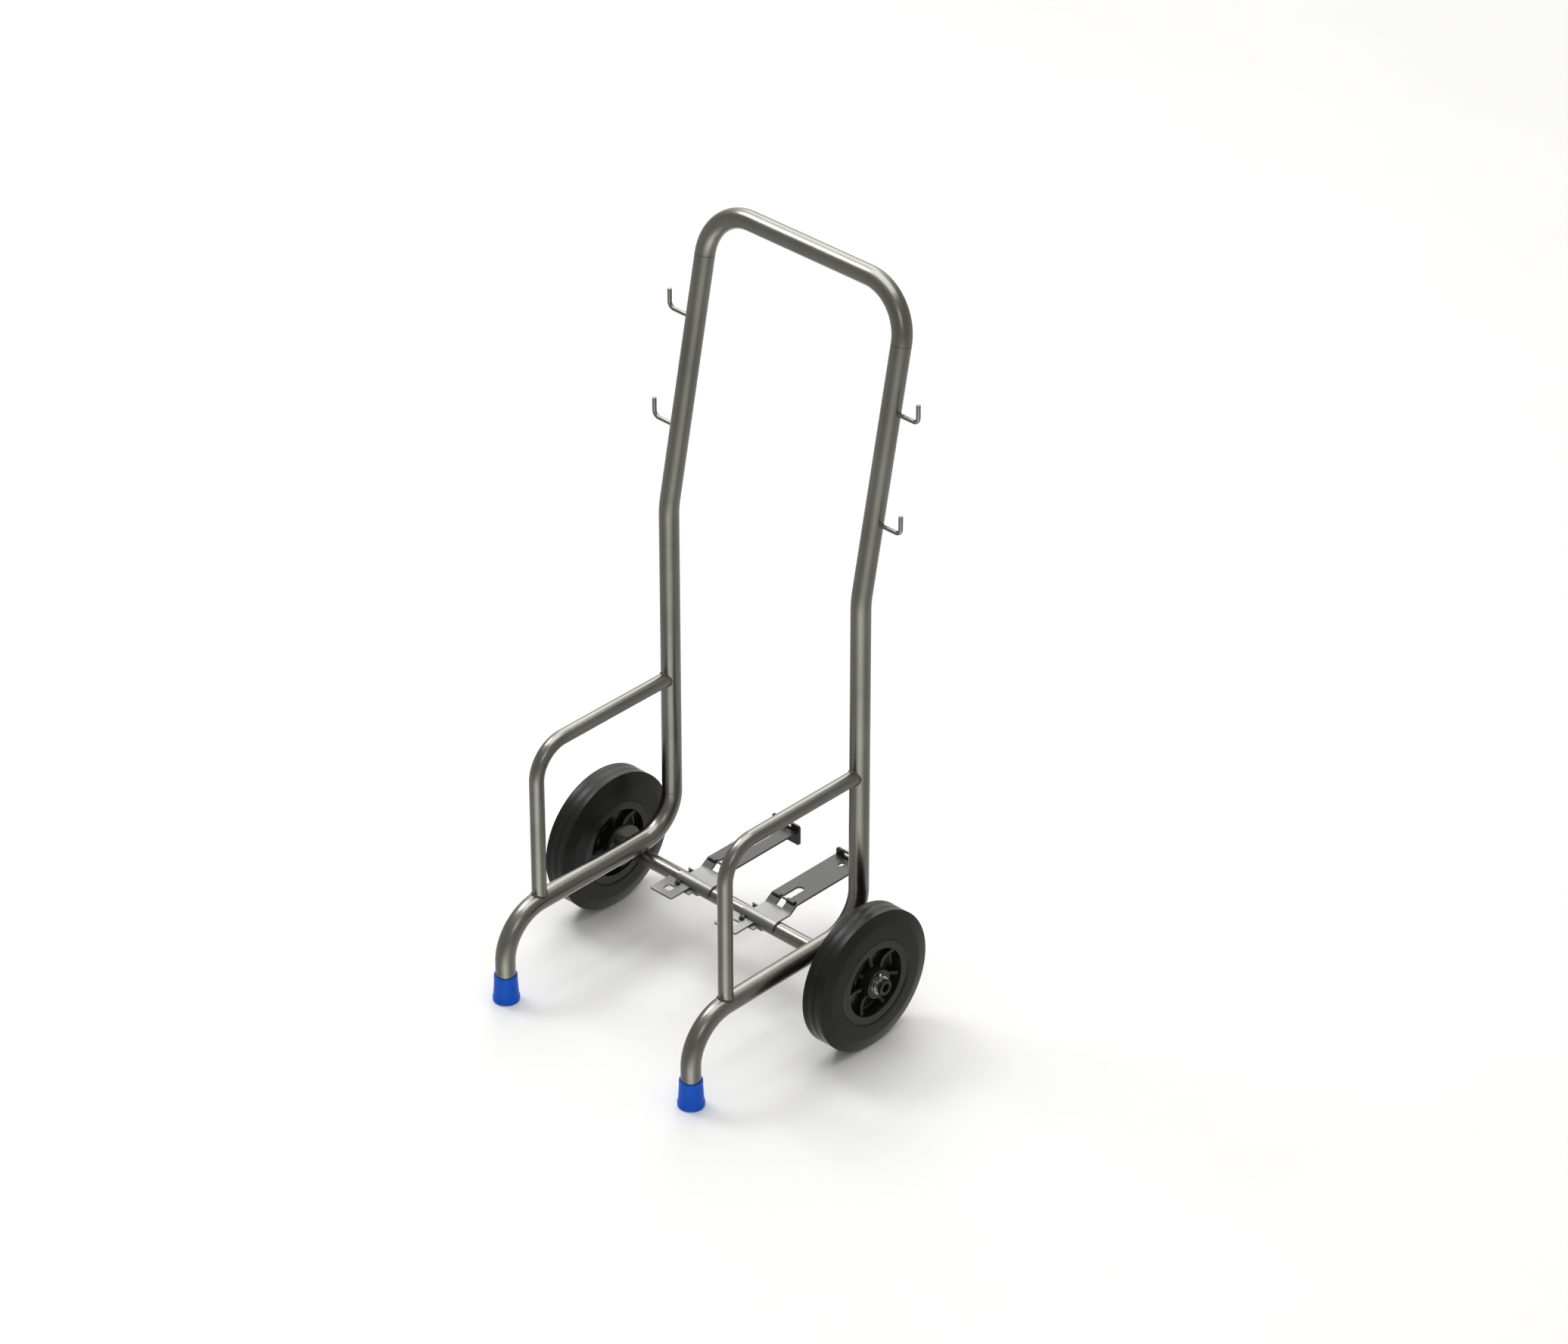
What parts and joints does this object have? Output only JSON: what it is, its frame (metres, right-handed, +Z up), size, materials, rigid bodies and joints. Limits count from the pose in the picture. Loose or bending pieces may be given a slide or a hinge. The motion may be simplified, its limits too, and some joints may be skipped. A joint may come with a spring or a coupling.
{
  "type": "airport luggage trolley",
  "caption": "Upright two-wheel trolley of bent stainless tube with side hoops, strap hooks, clamp-on axle brackets, solid wheels and blue rubber feet.",
  "frame": {"origin": "on the floor under the middle of the whole trolley's box", "axes": "+X along the axle to the right seen from the feet, +Y from the feet back to the user, +Z up"},
  "size_m": [0.541, 0.4372, 1.0388],
  "materials": {
    "stainless_tube": "satin stainless, bead-blasted",
    "dark_steel": "satin, darker",
    "sheet_steel": "laser-cut sheet, satin",
    "bright_steel": "bright",
    "fastener_steel": "dark zinc",
    "black_plastic": "moulded, satin",
    "white_plastic": "moulded nylon",
    "tyre_rubber": "solid rubber",
    "blue_rubber": "moulded rubber"
  },
  "bodies": {
    "frame": {"main_frame_tube": "stainless_tube", "left_side_hoop": "stainless_tube", "right_side_hoop": "stainless_tube", "left_lower_hook": "stainless_tube", "left_upper_hook": "stainless_tube", "right_lower_hook": "stainless_tube", "right_upper_hook": "stainless_tube", "axle_tube": "stainless_tube", "left_inner_flange": "dark_steel", "right_inner_flange": "dark_steel", "left_axle_end_plug": "black_plastic", "right_axle_end_plug": "black_plastic", "left_leg_plug": "white_plastic", "right_leg_plug": "white_plastic"},
    "left_clamp_assembly": {"left_bracket": "sheet_steel", "left_bracket_strap": "sheet_steel", "left_clamp_screw": "fastener_steel", "left_clamp_nut": "fastener_steel", "left_cross_pin": "fastener_steel", "left_end_plate": "sheet_steel", "left_end_bolt": "fastener_steel"},
    "right_clamp_assembly": {"right_bracket": "sheet_steel", "right_bracket_strap": "sheet_steel", "right_clamp_screw": "fastener_steel", "right_clamp_nut": "fastener_steel", "right_cross_pin": "fastener_steel"},
    "left_washer": {"left_thrust_washer": "dark_steel"},
    "left_wheel_keeper": {"left_retaining_clip": "bright_steel"},
    "left_wheel": {"left_wheel_hub": "black_plastic", "left_wheel_bush": "bright_steel", "left_wheel_tyre": "tyre_rubber"},
    "right_wheel_keeper": {"right_retaining_clip": "bright_steel"},
    "right_wheel": {"right_wheel_hub": "black_plastic", "right_wheel_bush": "bright_steel", "right_wheel_tyre": "tyre_rubber"},
    "left_foot": {"left_foot_ferrule": "blue_rubber"},
    "right_foot": {"right_foot_ferrule": "blue_rubber"}
  },
  "joints": [
    {"name": "left_wheel_pull", "type": "slide", "parent": "frame", "child": "left_wheel_keeper", "axis": [-1, 0, 0], "range_m": [0, 0.158]},
    {"name": "left_wheel_spin", "type": "hinge", "parent": "left_wheel_keeper", "child": "left_wheel", "pos_m": [-0.23545, 0.0554, 0.1], "axis": [1, 0, 0], "continuous": true},
    {"name": "left_washer_slide", "type": "slide", "parent": "frame", "child": "left_washer", "axis": [-1, 0, 0], "range_m": [0, 0.0604]},
    {"name": "right_wheel_pull", "type": "slide", "parent": "frame", "child": "right_wheel_keeper", "axis": [1, 0, 0], "range_m": [0, 0.15]},
    {"name": "right_wheel_spin", "type": "hinge", "parent": "right_wheel_keeper", "child": "right_wheel", "pos_m": [0.2323, 0.0554, 0.1], "axis": [1, 0, 0], "continuous": true},
    {"name": "left_foot_pull", "type": "slide", "parent": "frame", "child": "left_foot", "axis": [0, 0, -1], "range_m": [0, 0.047]},
    {"name": "right_foot_pull", "type": "slide", "parent": "frame", "child": "right_foot", "axis": [0, 0, -1], "range_m": [0, 0.047]},
    {"name": "left_clamp_slide", "type": "slide", "parent": "frame", "child": "left_clamp_assembly", "axis": [1, 0, 0], "range_m": [-0.04, 0]},
    {"name": "right_clamp_slide", "type": "slide", "parent": "frame", "child": "right_clamp_assembly", "axis": [-1, 0, 0], "range_m": [-0.07, 0]}
  ],
  "couplings": [
    {"joint": "left_washer_slide", "follows": "left_wheel_pull", "ratio": 0.382}
  ]
}
